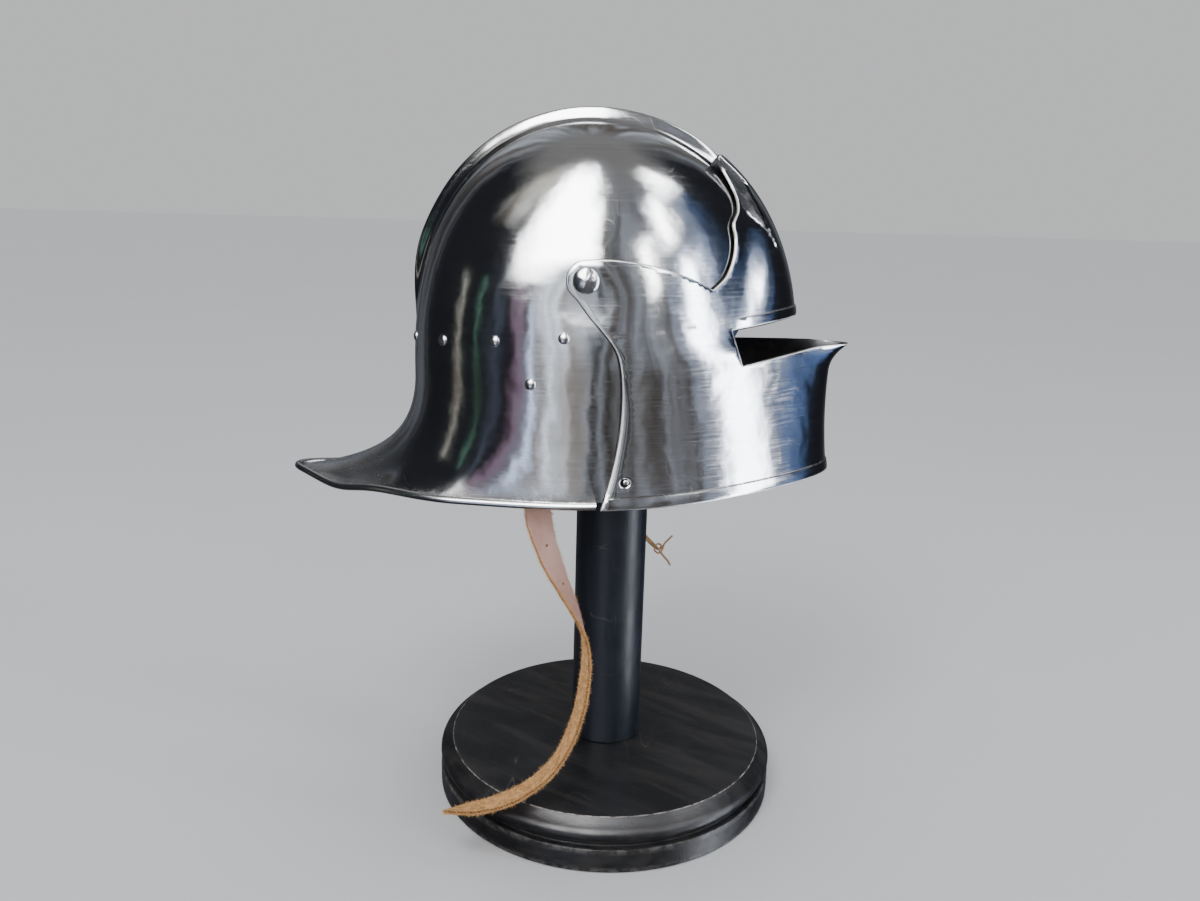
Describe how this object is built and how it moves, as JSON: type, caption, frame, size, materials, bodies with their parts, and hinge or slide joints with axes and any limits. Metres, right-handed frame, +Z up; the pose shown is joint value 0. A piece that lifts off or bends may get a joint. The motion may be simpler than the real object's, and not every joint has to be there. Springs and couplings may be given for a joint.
{
  "type": "sallet on a stand",
  "caption": "Polished steel sallet with a combed bowl, drawn-out tail, pivoted visor with sight slit, leather chin straps and lace, on a black turned wooden stand.",
  "frame": {"origin": "centre of the stand's flat underside", "axes": "+X the way the face opening looks, -Y the wearer's right, +Z up"},
  "size_m": [0.427, 0.2767, 0.5353],
  "materials": {
    "polished_steel": "polished, with fine hand-finishing lines",
    "strap_leather": "undyed, smooth grain side and rough flesh side",
    "black_paint": "turned wood under worn semi-gloss black paint"
  },
  "bodies": {
    "helmet_on_stand": {"stand_base": "black_paint", "stand_post": "black_paint", "skull": "polished_steel", "pivot_rivet_right": "polished_steel", "pivot_rivet_left": "polished_steel", "lining_rivet_right_1": "polished_steel", "lining_rivet_right_2": "polished_steel", "lining_rivet_right_3": "polished_steel", "lining_rivet_right_4": "polished_steel", "lining_rivet_left_1": "polished_steel", "lining_rivet_left_2": "polished_steel", "lining_rivet_left_3": "polished_steel", "lining_rivet_left_4": "polished_steel", "strap_rivet_right": "polished_steel", "strap_rivet_left": "polished_steel", "chin_strap_right": "strap_leather", "chin_strap_left": "strap_leather", "lace": "strap_leather"},
    "visor": {"visor": "polished_steel"},
    "catch": {"catch_stud": "polished_steel"}
  },
  "joints": [
    {"name": "visor_pivot", "type": "hinge", "parent": "helmet_on_stand", "child": "visor", "pos_m": [-0.023, 0, 0.42], "axis": [0, -1, 0], "range_deg": [0, 60]},
    {"name": "catch_press", "type": "slide", "parent": "helmet_on_stand", "child": "catch", "axis": [-0.1784, 0.9759, -0.126], "range_m": [0, 0.003], "stiffness_N_per_m": 800, "springref_m": -0.002}
  ]
}
